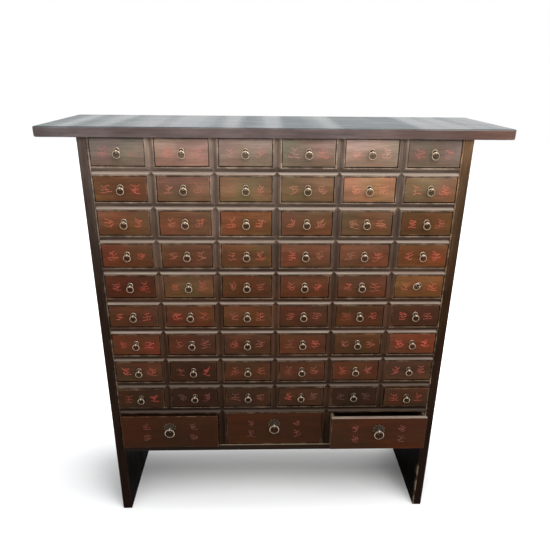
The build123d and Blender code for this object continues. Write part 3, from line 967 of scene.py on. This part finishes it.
class CABINET_OT_rails(bpy.types.Operator):
    """Build the moulded rails under each row, and the plain one under the wide drawers"""

    bl_idname = "cabinet.rails"
    bl_label = "Rails"

    def execute(self, context):
        sizes = context.scene.cabinet_sizes
        holes = openings()
        crossings = {row: divider_middles(holes, row) for row in ROW_KEYS}
        for row, below in zip(ROW_KEYS, ROW_KEYS[1:]):
            bottom, top = holes[below, 1][3], holes[row, 1][2]
            shape = self.moulded_rail(bottom, top, crossings[row], crossings[below], sizes)
            case_piece(f"rail_{row}", shape, "lacquer_across", case_tone(shape))
        shape = self.plain_rail(float(CASE_LOW[2]), holes["wide", 1][2])
        case_piece("rail_bottom", shape, "lacquer_across", case_tone(shape))
        return {"FINISHED"}

    @staticmethod
    def places(crossings):
        """Places along a rail: close together round each crossing, and six on each stretch between."""
        steps = np.array([8.0, 7.3, 6.4, 4.8, 3.2, 1.6]) * MM
        near = np.concatenate([-steps, [0.0], steps[::-1]])
        start = CASE_LEFT + 2 * MM
        lines = [[CASE_LEFT, start]]
        for x in sorted({round(x, 6) for x in crossings}):
            lines += [np.linspace(start, x - steps[0], 8)[1:-1], x + near]
            start = x + steps[0]
        return np.concatenate([*lines, np.linspace(start, CASE_RIGHT - 2 * MM, 8)[1:], [CASE_RIGHT]])

    def moulded_rail(self, bottom, top, upper_crossings, lower_crossings, sizes):
        """A moulded rail as a front surface over (x, z) with flat returns behind it.

        The depth behind the front plane is the greater of the rail's own moulding, which follows the
        height, and the dividers' hollows, which follow x, so the two meet in mitres. The mark value
        is 1 on the slope that faces up, and less on the lower rails.
        """
        width = top - bottom
        half = width / 2
        across, own = moulding(width, sizes)
        places = self.places([*upper_crossings, *lower_crossings])
        cuts = []
        for crossings in (upper_crossings, lower_crossings):
            reach = np.abs(places[:, None] - np.array(crossings)).min(axis=1)
            reach = HALF_DIVIDER - np.minimum(reach, HALF_DIVIDER)
            cuts.append(hollow_depth(reach, HALF_DIVIDER, sizes)[:, None])
        cut = np.where(across > half, *cuts)
        edge = rubbed_lip(across, width, sizes.lip) * (cut < 0.3 * MM)
        # The mark: rubbed dust and painted sheen on the slope that faces up, weaker on the lower rails
        slope = (sizes.lip + 0.2 * MM, sizes.lip + 1.0 * MM, half - 4.5 * MM, half)
        strength = np.interp(bottom, (0.37, 0.46, 0.64, 0.9, 1.1), (0.17, 0.33, 0.85, 0.85, 1.0))
        mark = np.interp(across, slope, (0, 1, 1, 0)) * (own >= cut - 0.2 * MM) * strength
        outline = closed_behind(across, np.maximum(own, cut), width)[..., ::-1]
        outline = outline + np.array([CASE_FRONT, bottom])
        edge, mark = (np.pad(value, ((0, 0), (0, 4))) for value in (edge, mark))
        shade = np.tile(return_shade(across, width), len(places))
        return swept(outline, places, 0, edge=edge, mark=mark, shade=shade)

    @staticmethod
    def plain_rail(bottom, top):
        """The bottom rail: a lip along the top, a short step back, and a flat face below it.

        Each point of the section is its depth and height in millimetres, and its edge value.
        """
        height = (top - bottom) / MM
        section = np.array([
            (3.0, 0.0, 0.4), (2.3, 0.3, 0.5), (2.0, 1.0, 0.2), (2.0, 5.0, 0.0), (2.0, 12.0, 0.0),
            (2.0, height - 5.6, 0.0), (1.0, height - 4.4, 0.3), (0.15, height - 3.6, 0.9),
            (0.0, height - 3.1, 1.0), (0.0, height - 1.0, 1.0), (0.3, height - 0.25, 1.0),
            (1.0, height, 0.6), (10.0, height, 0.0), (24.0, height, 0.0), (24.0, 0.0, 0.0), (10.0, 0.0, 0.0),
        ])
        places = np.linspace(CASE_LEFT, CASE_RIGHT, 60)
        sections = np.repeat(section[None], len(places), 0)
        outline = sections[..., :2] * MM + np.array([CASE_FRONT, bottom])
        return swept(outline, places, 0, edge=sections[..., 2])


class CABINET_OT_dividers(bpy.types.Operator):
    """Build the moulded dividers between the openings of each row"""

    bl_idname = "cabinet.dividers"
    bl_label = "Dividers"

    def execute(self, context):
        sizes = context.scene.cabinet_sizes
        holes = openings()
        for row in ROW_KEYS:
            shape = joined([self.post(left, right, sizes) for left, right in neighbours(holes, row)])
            shape["shade"] *= np.interp(shape["points"][:, 2], (0.4, 0.75, 0.95, 1.15), (1.8, 1.5, 1.1, 1.5))
            case_piece(f"dividers_{row}", shape, "lacquer_upright", case_tone(shape))
        return {"FINISHED"}

    @staticmethod
    def post(left, right, sizes):
        """A divider between two openings: the moulding across x, carried up from one rail to the next."""
        start, width = left[1], right[0] - left[1]
        bottom, top = left[2:]
        across, depth = moulding(width, sizes)
        levels = 9
        outline = closed_behind(across, np.tile(depth, (levels, 1)), width) + np.array([start, CASE_FRONT])
        lip = rubbed_lip(across, width, sizes.lip) * np.interp(bottom, (0.3, 0.6, 1.1), (0.6, 0.5, 0.85))
        edge = np.tile(np.pad(lip, (0, 4)), levels)
        shade = np.tile(return_shade(across, width), levels)
        return swept(outline, np.linspace(bottom, top, levels), 2, edge=edge, shade=shade)


class CABINET_OT_inner_boards(bpy.types.Operator):
    """Build the shelves, the partitions and the back planks"""

    bl_idname = "cabinet.inner_boards"
    bl_label = "Inner boards"

    def execute(self, context):
        holes = openings()
        front, back = CASE_FRONT + RAIL_DEPTH, float(CASE_HIGH[1])
        inner_back = back - PLANK
        for row in ROW_KEYS:
            bottom, top = holes[row, 1][2:]
            ceiling = top if row == 1 else top + PARTITION_RISE
            low, high = (CASE_LEFT, front, bottom - SHELF), (CASE_RIGHT, inner_back, bottom)
            case_piece(f"shelf_{row}", block(low, high, 0.3 * MM, MM, (6, 2, 0)), "bare_across")
            walls = []
            for x in divider_middles(holes, row):
                low, high = (x - PARTITION / 2, front, bottom), (x + PARTITION / 2, inner_back, ceiling)
                walls.append(block(low, high, 0.3 * MM, MM, (0, 2, 1)))
            case_piece(f"partitions_{row}", joined(walls), "bare_upright")
        edges = np.linspace(CASE_LEFT, CASE_RIGHT, PLANKS + 1)
        for number, (start, end) in enumerate(zip(edges[:-1], edges[1:]), 1):
            low, high = (start, inner_back, CASE_LOW[2]), (end, back, CASE_HIGH[2])
            plank = block(low, high, 1.2 * MM, 3 * MM, (6, 0, 24), 0.5 * MM, 20 + number)
            case_piece(f"back_plank_{number}", plank, "bare_upright")
        return {"FINISHED"}


class CABINET_OT_drawers(bpy.types.Operator):
    """Build each drawer's front board and its box"""

    bl_idname = "cabinet.drawers"
    bl_label = "Drawers"

    def execute(self, context):
        sizes = context.scene.cabinet_sizes
        for number, d in enumerate(drawer_list()):
            low, high = (d.left, d.face, d.bottom), (d.right, d.face + sizes.front, d.top)
            counts = (30 if d.wide else 16, 0, 8)
            front = block(low, high, 1.2 * MM, 2.2 * MM, counts, 0.25 * MM, FRONT_SEED + number)
            if d.key == ("wide", WIDE_DRAWERS):
                front["mark"] = 0.9 * (front["points"][:, 2] > d.top - 0.9 * MM)
            tone = self.patina(front["points"], d, sizes, PATINA_SEED + number)
            drawer_piece(d, "front", front, "lacquer_front", tone)
            drawer_piece(d, "box", self.box(d, sizes), "bare_across")
        return {"FINISHED"}

    @staticmethod
    def patina(points, d, sizes, seed):
        """The front's tone from point to point: slow drifts of red and green, grime and painted shadow behind
        the ring, red rubbed out of the sprigs, and painted shade on the faces behind the front.

        The drifts are sine waves that cross the front, and the grime and shadow and the red are bell curves
        of the distance from the middle of the ring or the sprig. The front is lighter and bluer towards its
        top, a painted reflection.
        """
        x, y, z = points.T
        warm = (uneven(points, 2.0, seed) - 1) * min(1.0, 0.25 + 0.25 * d.row)
        green = uneven(points, 2.0, seed + 500) - 1
        tone = tinted(drawer_tone(d.row, d.column), warm, 0.17, -0.05, -0.17)
        tone = tinted(tone, green, -0.11, 0.09, -0.06)
        # Painted reflection: lighter and bluer towards the front's top, less so on the low rows
        height = ((z - d.bottom) / (d.top - d.bottom) - 0.5) * np.interp(d.row, (6, 8), (1.0, 0.5))
        tone = tinted(tone, height, 0.3, 0.36, 0.55)
        # Grime and painted shadow behind the ring
        ring_middle = d.eye - d.ring / 2
        away = np.hypot(x - d.x, z - ring_middle) / (0.42 * d.ring)
        tone = tinted(tone, np.exp(-(away**2)), -0.5, -0.5, -0.5)
        rng = np.random.default_rng(seed + 900)
        reach = WIDE_SPRIG_ACROSS if d.wide else sizes.sprig_place
        for side in (-1, 1):
            away = np.hypot(x - d.x - side * reach, (z - ring_middle) * 1.3) / (15 * MM)
            tone = tinted(tone, rng.uniform(0, 1) ** 2 * np.exp(-(away**2)), 0.55, -0.1, -0.05)
        # Painted shade on the faces behind the front, with its own amount on the upper face
        behind = np.clip((y - d.face - 1.5 * MM) / (2 * MM), 0, 1)
        painted_shade = np.where(z > d.top - 1.5 * MM, UPPER_FACE_SHADES.get(d.key, USUAL_UPPER_FACE_SHADE), 0.6)
        return tone * (1 - behind * painted_shade)[:, None]

    @staticmethod
    def box(d, sizes):
        """The box behind the front: two sides, a back and a bottom, as thin eased boards."""
        left, right = d.left + 0.5 * MM, d.right - 0.5 * MM
        inner_left, inner_right = left + sizes.box_board, right - sizes.box_board
        start, end = d.face + sizes.front, d.box_end
        inner_end = end - sizes.box_board
        low, high = d.box_bottom, d.top - 3.5 * MM
        floor = low + 4.0 * MM
        ceiling = floor + 5 * MM
        return joined([
            block((left, start, low), (inner_left, end, high), 0.6 * MM, MM, (0, 3, 1)),
            block((inner_right, start, low), (right, end, high), 0.6 * MM, MM, (0, 3, 1)),
            block((inner_left, inner_end, low), (inner_right, end, high), 0.6 * MM, MM, (1, 0, 1)),
            block((inner_left, start, floor), (inner_right, inner_end, ceiling), 0.3 * MM, MM, (1, 2, 0)),
        ])


class CABINET_OT_pulls(bpy.types.Operator):
    """Build the ring pulls: rosette, eye and ring, and the wide drawers' petalled plates"""

    bl_idname = "cabinet.pulls"
    bl_label = "Ring pulls"

    def execute(self, context):
        sizes = context.scene.cabinet_sizes
        for d in drawer_list():
            centre = (d.x, d.face, d.eye)
            shape = self.wide_pull(centre, sizes) if d.wide else self.small_pull(centre, d.row, sizes)
            if d.key == TURNED_PULL:
                shape = twisted(shape, centre, PULL_TURN)
            drawer_piece(d, "pull", shape, "brass")
        return {"FINISHED"}

    @staticmethod
    def eye_and_ring(x, crown, z, ring, wire):
        """An eye bent from flat bar, its short foot on the crown, and the ring that hangs in it."""
        outer = wire / 2 + EYE_ROOM
        half_bar = 0.75 * MM
        loop = hoop((x, crown - outer, z), outer - half_bar, 1.3 * MM, half_bar, 18, 8, 0)
        radii = np.array([0.0, 2.3, 2.1, 1.4, 0.0]) * MM
        foot = turned(radii, np.array([-0.2, -0.2, 0.2, 0.8, 1.1]) * MM, 12, (x, crown, z))
        major = (ring - wire) / 2
        hung = hoop((x, crown - outer, z - 0.3 * MM - major), major, wire / 2, wire / 2, 32, 9, 1)
        return [loop, foot, hung]

    def small_pull(self, centre, row, sizes):
        """A low fluted rosette with a raised rim, an eye and a ring."""
        rise = sizes.rosette_rise
        radii = np.array([0, 1, 1, 0.93, 0.84, 0.76, 0.66, 0.54, 0.42, 0.2, 0]) * sizes.rosette / 2
        heights = np.array([0, 0, 0.6, 1.1, 1.0, 1.3, 2.1, 3.0, 3.7]) * MM
        rosette = turned(radii, [*heights, rise, rise], 48, centre, petals=12, petal_share=0.07)
        # Painted light: the rosette's rubbed brass is brighter on the high rows, where more light falls
        rosette["edge"] = rosette["edge"] * np.interp(row, (1, 5, 9), (1.0, 0.75, 0.5))
        x, face, z = centre
        return joined([rosette, *self.eye_and_ring(x, face - rise, z, sizes.ring, sizes.ring_wire)])

    def wide_pull(self, centre, sizes):
        """A flat plate cut into petals, with a dome on it, an eye and a ring."""
        thick, rise = sizes.plate_thickness, sizes.boss_rise
        radii = np.array([0, 0.99, 1, 0.96, 0.8, 0.55, 0.45, 0]) * sizes.plate / 2
        heights = (0, 0, 0.5 * MM, thick, thick * 0.72, thick * 0.85, thick, thick)
        plate = turned(radii, heights, 80, centre, petals=10, petal_share=0.3)
        radii = np.array([0, 1, 1, 0.92, 0.75, 0.5, 0.36, 0]) * sizes.boss / 2
        swell = thick + np.array([0.5, 1.0, 2.0, 3.6]) * MM
        heights = (thick * 0.8, thick * 0.8, *swell, thick + rise, thick + rise)
        dome = turned(radii, heights, 36, centre, petals=12, petal_share=0.05)
        plate["edge"] = plate["edge"] * 0.5
        dome["edge"] = dome["edge"] * 0.3
        x, face, z = centre
        eye_and_ring = self.eye_and_ring(x, face - thick - rise, z, sizes.wide_ring, sizes.wide_ring_wire)
        return joined([plate, dome, *eye_and_ring])


class CABINET_OT_sprigs(bpy.types.Operator):
    """Paint small leafy sprigs in red on both sides of each ring"""

    bl_idname = "cabinet.sprigs"
    bl_label = "Painted sprigs"

    def execute(self, context):
        sizes = context.scene.cabinet_sizes
        for number, d in enumerate(drawer_list()):
            reach, ups = (WIDE_SPRIG_ACROSS, (1, -1)) if d.wide else (sizes.sprig_place, (0,))
            rng = np.random.default_rng(SPRIG_SEED + number)
            marks = []
            for across, up in ((side * reach, up * WIDE_SPRIG_UP) for side in (-1, 1) for up in ups):
                strength = rng.uniform(0.15, 1.0)
                if d.wide:
                    strength *= 0.35
                elif d.column in (1, COLUMNS):
                    strength = 0.5 + 0.5 * strength
                else:
                    strength = strength**2
                strength *= min(1.0, 0.35 + 0.25 * d.row)
                marks += self.sprig(rng, d.x + across, d.middle + up - 1.0 * MM, d.face, strength, sizes)
            pale = np.interp(d.row, (1, 3, 7), (1.05, 1.3, 1.0))
            # The paint's ground is the drawer's tone, with its painted reflection high up
            tone = drawer_tone(d.row, d.column) * np.array([1.0, pale, pale])
            tone = tone * np.interp(d.row, (1, 3, ROWS, ROWS + 1), (0.7, 1.0, 1.0, 0.78))
            drawer_piece(d, "sprigs", joined(marks), "paint", tone)
        return {"FINISHED"}

    @staticmethod
    def sprig(rng, x, z, face, strength, sizes):
        """A stem with pairs of leaves and buds: fine brush marks of varied length, lean and width.

        Its mark value is how strong the paint still is, the same all over one sprig.
        """
        tall = sizes.sprig * rng.uniform(0.85, 1.0)
        lean = rng.uniform(-0.2, 0.2)
        width, sunk = 1.9 * MM, 0.3 * MM
        wood, lift = face + sunk, sizes.paint + sunk
        foot = np.array([x - lean * tall / 2, z - tall / 2])
        head = np.array([x + lean * tall / 2, z + tall / 2])
        marks = [leaf(foot, head, width * 0.75, rng.uniform(-0.08, 0.08), wood, lift)]
        pairs = int(rng.integers(3, 5))
        for number in range(pairs):
            share_up = (number + 0.4 + rng.uniform(-0.1, 0.1)) / pairs
            root = foot + (head - foot) * share_up
            for side in (-1, 1):
                reach = tall * rng.uniform(0.28, 0.56) * (1.15 - 0.35 * share_up)
                angle = rng.uniform(-0.35, 0.85)
                tip = root + reach * np.array([side * math.cos(angle), math.sin(angle)])
                broad, bend = width * rng.uniform(0.8, 1.3), rng.uniform(-0.25, 0.25)
                marks.append(leaf(root, tip, broad, bend, wood, lift))
                bud = tip + np.array([rng.uniform(-1.5, 1.5), rng.uniform(1.0, 3.5)]) * MM
                marks.append(leaf(tip, bud, width * 1.2, 0.0, wood, lift))
        for mark in marks:
            mark["mark"] = np.full(len(mark["points"]), strength)
        return marks


class CABINET_PT_panel(bpy.types.Panel):
    """The sidebar's list of the cabinet's steps, sizes and colours."""

    bl_label = "Apothecary Cabinet"
    bl_idname = "CABINET_PT_panel"
    bl_space_type = "VIEW_3D"
    bl_region_type = "UI"
    bl_category = "Cabinet"

    def draw(self, context):
        for step in STEPS:
            self.layout.operator(step.bl_idname)
        for group in (context.scene.cabinet_sizes, context.scene.cabinet_colours):
            column = self.layout.column()
            for label in group.__annotations__:
                column.prop(group, label)


STEPS = (
    CABINET_OT_stage,
    CABINET_OT_top,
    CABINET_OT_sides,
    CABINET_OT_rails,
    CABINET_OT_dividers,
    CABINET_OT_inner_boards,
    CABINET_OT_drawers,
    CABINET_OT_pulls,
    CABINET_OT_sprigs,
)
CLASSES = (CabinetSizes, CabinetColours, *STEPS, CABINET_PT_panel)


def register():
    """Register the classes and hang the sizes and colours on the scene."""
    for cls in CLASSES:
        bpy.utils.register_class(cls)
    bpy.types.Scene.cabinet_sizes = bpy.props.PointerProperty(type=CabinetSizes)
    bpy.types.Scene.cabinet_colours = bpy.props.PointerProperty(type=CabinetColours)


def unregister():
    """Undo register."""
    del bpy.types.Scene.cabinet_colours
    del bpy.types.Scene.cabinet_sizes
    for cls in reversed(CLASSES):
        bpy.utils.unregister_class(cls)


def main():
    """Build the stage and every piece in order."""
    register()
    for step in STEPS:
        family, name = step.bl_idname.split(".")
        getattr(getattr(bpy.ops, family), name)()
    bpy.context.view_layer.update()


if __name__ == "__main__":
    main()
